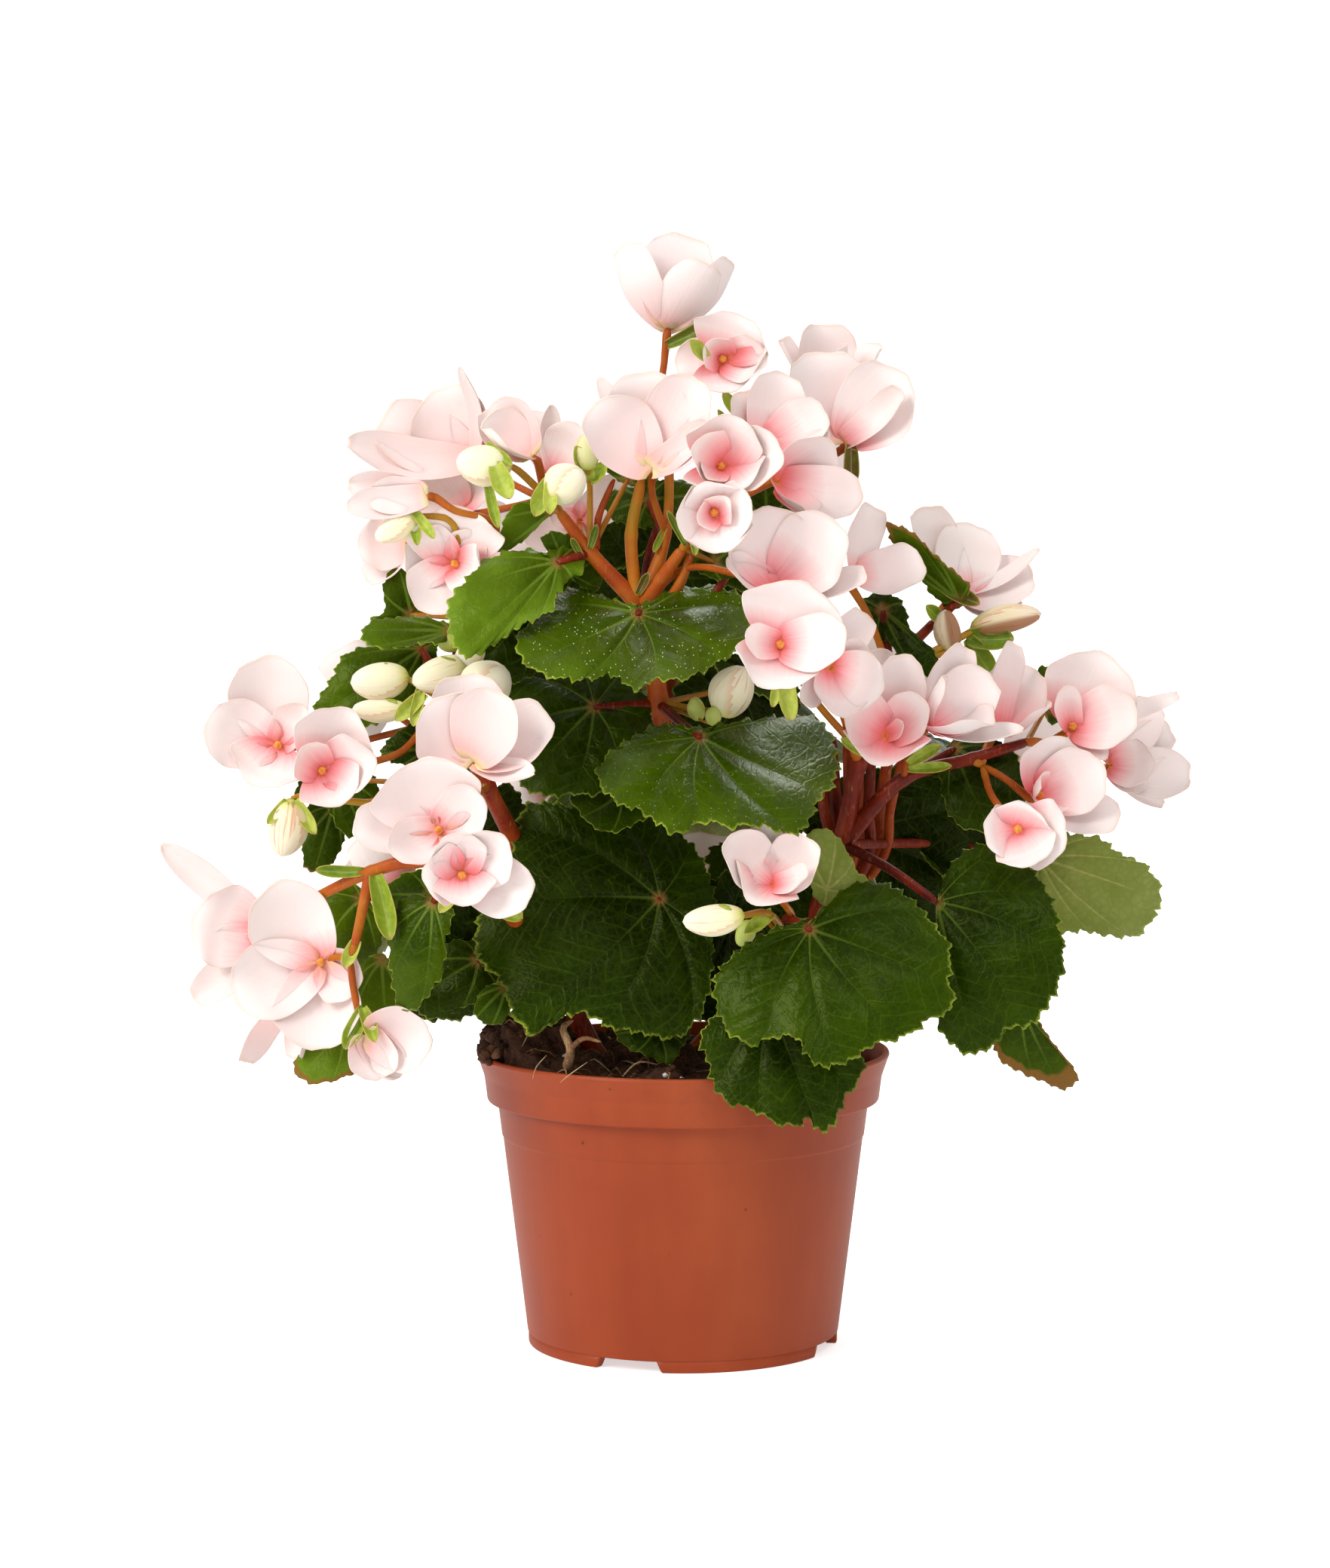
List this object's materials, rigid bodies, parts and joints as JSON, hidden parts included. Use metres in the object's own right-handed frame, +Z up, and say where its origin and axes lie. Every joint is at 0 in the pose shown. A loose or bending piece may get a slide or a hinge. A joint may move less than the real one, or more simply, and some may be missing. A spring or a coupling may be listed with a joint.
{
  "type": "potted begonia",
  "caption": "Flowering begonia in a round plastic nursery pot: branching stems, lopsided toothed leaves and sprays of cup-shaped pale pink blooms above potting soil.",
  "frame": {"origin": "middle of the footprint, on the surface that the pot stands on", "axes": "+Z up along the pot's axis, -Y towards the viewer of the front, +X to that viewer's right"},
  "size_m": [0.296, 0.1803, 0.3213],
  "materials": {
    "terracotta_plastic": "satin",
    "potting_soil": "rough, fibrous",
    "stem": "smooth, fleshy",
    "leaf": "glossy, veined",
    "petal": "soft, translucent"
  },
  "bodies": {
    "root": {"leaf_01": "leaf", "leaf_02": "leaf", "leaf_05": "leaf", "leaf_06": "leaf", "leaf_08": "leaf", "leaf_09": "leaf", "leaf_10": "leaf", "leaf_11": "leaf", "leaf_12": "leaf", "leaf_13": "leaf", "leaf_15": "leaf", "leaf_16": "leaf", "leaf_18": "leaf", "leaf_22": "leaf", "leaf_25": "leaf", "leaf_27": "leaf", "leaf_28": "leaf", "leaf_30": "leaf", "leaf_51": "leaf", "leaf_52": "leaf", "leaf_53": "leaf", "leaf_54": "leaf", "leaf_55": "leaf", "leaf_56": "leaf", "leaf_58": "leaf", "leaf_59": "leaf", "leaf_60": "leaf", "leaf_62": "leaf", "pot": "terracotta_plastic", "soil": "potting_soil", "spray_arch_end": "petal", "spray_arch_low": "petal", "spray_arch_start": "petal", "spray_back_high": "petal", "spray_back_left": "petal", "spray_back_left_low": "petal", "spray_back_low": "petal", "spray_back_right": "petal", "spray_back_right_low": "petal", "spray_centre": "petal", "spray_fan_left": "petal", "spray_front_right": "petal", "spray_left": "petal", "spray_left_front": "petal", "spray_left_tip": "petal", "spray_left_top": "petal", "spray_low_centre": "petal", "spray_right_arm": "petal", "spray_right_end": "petal", "spray_right_front": "petal", "spray_right_hand": "petal", "spray_right_of_centre": "petal", "spray_right_tip": "petal", "spray_right_top": "petal", "spray_top": "petal", "stems": "stem"}
  },
  "joints": []
}
